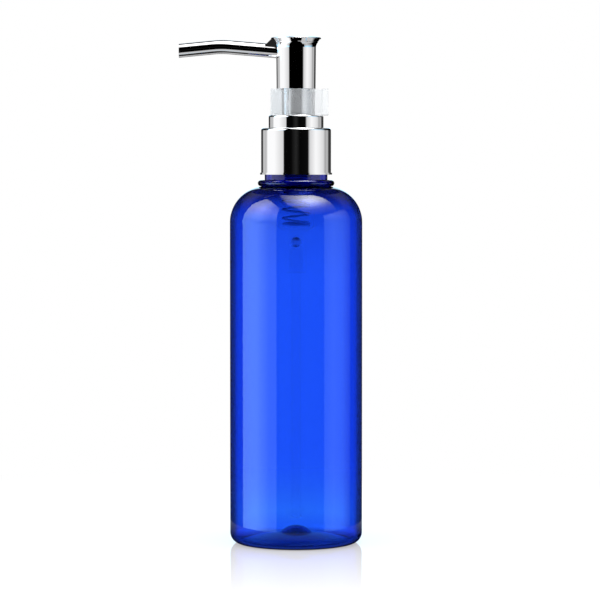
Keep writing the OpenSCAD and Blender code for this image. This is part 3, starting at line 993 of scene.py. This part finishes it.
    def build(self) -> None:
        """Makes the world."""
        world = bpy.data.worlds.new("studio")
        bpy.context.scene.world = world
        world.use_nodes = True
        world.node_tree.nodes.clear()
        t = Tree(world.node_tree)
        way = t.apart(t.add("ShaderNodeTexCoord").outputs["Generated"])
        x, y, z = way
        turn = turn_from_front(t, x, y)
        up = t.product(t.maths(Operation.ARCSINE, z), DEGREES)
        in_belt = self.within(t, up, *self.belt_rise, self.belt_ease)
        out_of_belt = t.rest(in_belt)
        level = t.total(t.product(self.belt(t, turn), in_belt),
                        t.product(self.boxes(t, way, turn, up), out_of_belt))
        ray = t.add("ShaderNodeLightPath").outputs
        plain = t.add("ShaderNodeBackground", label="soft fill")
        plain.inputs["Strength"].default_value = self.ambient
        panels = t.add("ShaderNodeBackground", label="soft boxes in reflections")
        t.feed(panels.inputs["Strength"], level)
        white = t.add("ShaderNodeBackground", label="white backdrop")
        t.feed(white.inputs["Strength"], self.white_level(t, ray, y, level))
        for node in (plain, white):
            node.inputs["Color"].default_value = rgba(WHITE)
        low = t.product(t.ramp(z, *self.cast_rise), t.ramp(z, *self.cast_fade, 1.0, 0.0), out_of_belt)
        t.feed(panels.inputs["Color"], t.blend(low, rgba(WHITE), rgba(self.panel_cast)))
        shiny = t.mixed(ray["Is Glossy Ray"], plain.outputs[0], panels.outputs[0])
        seen = t.mixed(t.most(ray["Is Camera Ray"], ray["Is Transmission Ray"]), shiny, white.outputs[0])
        t.feed(t.add("ShaderNodeOutputWorld").inputs["Surface"], seen)


@dataclass
class Floor:
    """The pale floor: a round one under the bottle, and a wide one round it that reflections don't show.
    Reflections see the round one as a glow with a painted shadow near the base.
    """

    through: float = Surroundings.through
    across: float = 12.0
    disc: float = 0.075
    sides: int = 96
    lumps: float = 9.0
    greys: Span = (0.83, 0.85)
    base_grey: float = 0.34
    base_glow: float = 0.74
    mirror_rough: float = 0.05
    mirror_reach: Span = (0.024, 0.19)
    mirror_share: float = 0.42
    white_from: Span = (0.1, 0.25)
    # painted shadow: the round floor glows in reflections, dark near the base and brighter further out
    painted_floor_shadow: Stops = ((0.04, 0.005), (0.075, 0.2))

    def near_base(self, t: Tree, out: Socket) -> Socket:
        """The floor near the base, with a soft shadow and a fading reflection.

        Args:
            t: the tree to build in.
            out: the distance from the bottle's axis.

        Returns:
            The shader's socket.
        """
        shown = t.add("ShaderNodeBsdfDiffuse", label="floor near the base")
        shown.inputs["Color"].default_value = rgba((self.base_grey,) * 3)
        glow = t.add("ShaderNodeEmission")
        glow.inputs["Strength"].default_value = self.base_glow
        near = t.add("ShaderNodeAddShader")
        t.feed(near.inputs[0], shown.outputs[0])
        t.feed(near.inputs[1], glow.outputs[0])
        gloss = t.add("ShaderNodeBsdfGlossy", label="reflection near the base")
        gloss.inputs["Roughness"].default_value = self.mirror_rough
        return t.mixed(t.ramp(out, *self.mirror_reach, self.mirror_share, 0.0),
                       near.outputs[0], gloss.outputs[0])

    def material(self) -> bpy.types.Material:
        """Makes the floor's material.

        Returns:
            The floor's material.
        """
        made, t = blank_material("pale studio floor")
        place = t.add("ShaderNodeTexCoord").outputs["Object"]
        length = t.add("ShaderNodeVectorMath", operation="LENGTH")
        t.feed(length.inputs[0], place)
        out = length.outputs["Value"]
        ray = t.add("ShaderNodeLightPath").outputs
        dull, pale = (rgba((grey,) * 3) for grey in self.greys)
        matt = t.add("ShaderNodeBsdfDiffuse", label="floor that lights the object")
        t.feed(matt.inputs["Color"], t.blend(t.noise(place, self.lumps), dull, pale))
        plain = t.add("ShaderNodeEmission", label="plain white floor")
        t.feed(plain.inputs["Strength"], t.ramp(ray["Is Transmission Ray"], 0.0, 1.0, 1.0, self.through))
        ground = t.mixed(t.ramp(out, *self.white_from, smooth=True), self.near_base(t, out),
                         plain.outputs[0])
        # what reflections see of the floor: a glow with a painted shadow near the base
        painted_floor_shadow = t.add("ShaderNodeEmission", label="floor in reflections")
        t.feed(painted_floor_shadow.inputs["Strength"], t.profile(out, self.painted_floor_shadow))
        reflected = t.maths(Operation.SUBTRACT, ray["Is Glossy Ray"], ray["Is Transmission Ray"],
                            clamp=True)
        seen = t.most(ray["Is Camera Ray"], ray["Is Glossy Ray"], ray["Is Transmission Ray"])
        pick = t.mixed(seen, matt.outputs[0], t.mixed(reflected, ground, painted_floor_shadow.outputs[0]))
        t.feed(t.add("ShaderNodeOutputMaterial").inputs["Surface"], pick)
        return made

    def build(self) -> None:
        """Lays both floors."""
        made = self.material()
        turns = [math.tau * i / self.sides for i in range(self.sides)]
        inner, outer = ([(radius * math.cos(a), radius * math.sin(a), 0.0) for a in turns]
                        for radius in (self.disc, self.across / 2))
        around = [(i, self.sides + i, self.sides + (i + 1) % self.sides, (i + 1) % self.sides)
                  for i in range(self.sides)]
        disc = [tuple(range(self.sides))]
        for name, points, faces, reflected in (("floor_disc", inner, disc, True),
                                               ("floor_round_it", inner + outer, around, False)):
            ground = into_scene(name, plain_mesh(name, points, faces, made))
            ground.visible_glossy = reflected


@dataclass
class Flags:
    """Strips that only reflections see, which shape what the shoulder's start, the neck and the front of
    the head reflect."""

    cast: Colour = Surroundings.panel_cast
    reach: float = 50 * MM
    band: Span = (120.9 * MM, 125.0 * MM)
    fade: float = 1 * MM
    span: Span = (22.0, 150.0)
    left_strip: Stops = (
        (24.0, 0.0), (26.0, 0.5), (40.0, 0.6), (52.0, 1.0), (65.0, 1.45), (76.0, 1.3), (83.0, 1.1),
        (84.5, 0.0))
    right_strip: Stops = (
        (36.0, 0.0), (38.0, 0.4), (52.0, 0.6), (68.0, 0.4), (83.5, 0.12), (85.0, 0.0))
    neck_ring: Span = (14.9 * MM, 19.5 * MM)
    neck_span: Span = (-90, 90)
    neck_level: float = 137.8 * MM
    centre_half: float = 7.5 * MM
    centre_front: float = -13 * MM
    centre_rise: Span = (168 * MM, 189.5 * MM)
    steps: int = 32

    def cloth(self) -> bpy.types.Material:
        """Makes the strips' material: black, with the side lights' own level where it hides them.

        Returns:
            The strips' material.
        """
        made, t = blank_material("black flag cloth")
        x, y, z = t.apart(t.add("ShaderNodeTexCoord").outputs["Object"])
        turn = turn_from_front(t, x, y)
        level = t.total(t.profile(t.product(turn, -1.0), self.left_strip),
                        t.profile(turn, self.right_strip))
        top = self.band[1]
        cloth = t.add("ShaderNodeEmission")
        cloth.inputs["Color"].default_value = rgba(self.cast)
        t.feed(cloth.inputs["Strength"], t.product(level, t.ramp(z, top, top + self.fade, 1.0, 0.0)))
        t.feed(t.add("ShaderNodeOutputMaterial").inputs["Surface"], cloth.outputs[0])
        return made

    def arc(self, radius: float, first: float, last: float, hand: float = 1.0) -> list[Span]:
        """Points on an arc round the bottle's axis.

        Args:
            radius: the arc's radius.
            first: angle from the front where it starts, in degrees.
            last: angle where it ends.
            hand: -1 for the left side.

        Returns:
            The points' x and y.
        """
        turns = [math.radians(first + (last - first) * i / self.steps) for i in range(self.steps + 1)]
        return [(hand * radius * math.sin(a), -radius * math.cos(a)) for a in turns]

    @staticmethod
    def hang(name: str, points: Sequence[Sequence[float]], faces: Sequence[Sequence[int]],
             cloth: bpy.types.Material) -> None:
        """Hangs one strip.

        Args:
            name: the strip's name.
            points: its corners.
            faces: which corners each of its faces has.
            cloth: its material.
        """
        strip = into_scene(name, plain_mesh(name, points, faces, cloth))
        strip.visible_camera = strip.visible_diffuse = strip.visible_transmission = False
        strip.visible_shadow = False

    def build(self) -> None:
        """Hangs every strip."""
        cloth = self.cloth()
        row = self.steps + 1
        faces = [(i, i + 1, row + i + 1, row + i) for i in range(self.steps)]
        for name, hand in (("left_flag", -1.0), ("right_flag", 1.0)):
            rim = self.arc(self.reach, *self.span, hand)
            self.hang(name, [(x, y, z) for z in self.band for x, y in rim], faces, cloth)
        ring = [(x, y, self.neck_level) for radius in self.neck_ring
                for x, y in self.arc(radius, *self.neck_span)]
        self.hang("neck_flag", ring, faces, cloth)
        low, high = self.centre_rise
        corners = ((-1, low), (1, low), (1, high), (-1, high))
        self.hang("centre_flag", [(hand * self.centre_half, self.centre_front, z) for hand, z in corners],
                  [(0, 1, 2, 3)], cloth)


@dataclass
class Camera:
    """The camera at the photograph's height and angle, with its tilt below the horizon in degrees."""

    back: float = 0.9885
    side: float = 0.00148
    high: float = 0.1399
    tilt: float = 2.7675
    lens: float = 156.94
    sensor: float = 36.0
    clip: Span = (0.01, 50.0)

    def build(self) -> None:
        """Sets up the camera."""
        lens = bpy.data.cameras.new("camera")
        lens.sensor_width = self.sensor
        lens.lens = self.lens
        lens.clip_start, lens.clip_end = self.clip
        view = into_scene("camera", lens)
        view.location = (self.side, -self.back, self.high)
        view.rotation_euler = (math.radians(90 - self.tilt), 0, 0)
        bpy.context.scene.camera = view


@dataclass
class Studio:
    """A pale floor, white surroundings, soft lamps and the camera."""

    surroundings: Surroundings = field(default_factory=Surroundings)
    floor: Floor = field(default_factory=Floor)
    flags: Flags = field(default_factory=Flags)
    lamps: Sequence[Lamp] = (
        Lamp("top_lamp", (0.0, -0.25, 1.1), 1.0, 7.0),
        Lamp("left_lamp", (-1.0, -0.35, 0.45), 0.9, 5.0),
        Lamp("right_lamp", (1.0, -0.35, 0.45), 0.9, 5.0))
    camera: Camera = field(default_factory=Camera)

    def build(self) -> None:
        """Sets up the whole studio."""
        for part in (self.surroundings, self.floor, self.flags):
            part.build()
        for lamp in self.lamps:
            lamp.hang()
        self.camera.build()
        bpy.context.scene.view_settings.view_transform = "Standard"
        LOG.info("studio set")


def main() -> None:
    """Builds the camera and studio, then dresses every piece."""
    logging.basicConfig(level=logging.INFO, format="%(name)s: %(message)s")
    Studio().build()
    for part in (Bottle(), Closure(), PumpEngine(), Head(), LockClip()):
        part.build()
        LOG.info("%s done", type(part).__name__)


if __name__ == "__main__":
    main()
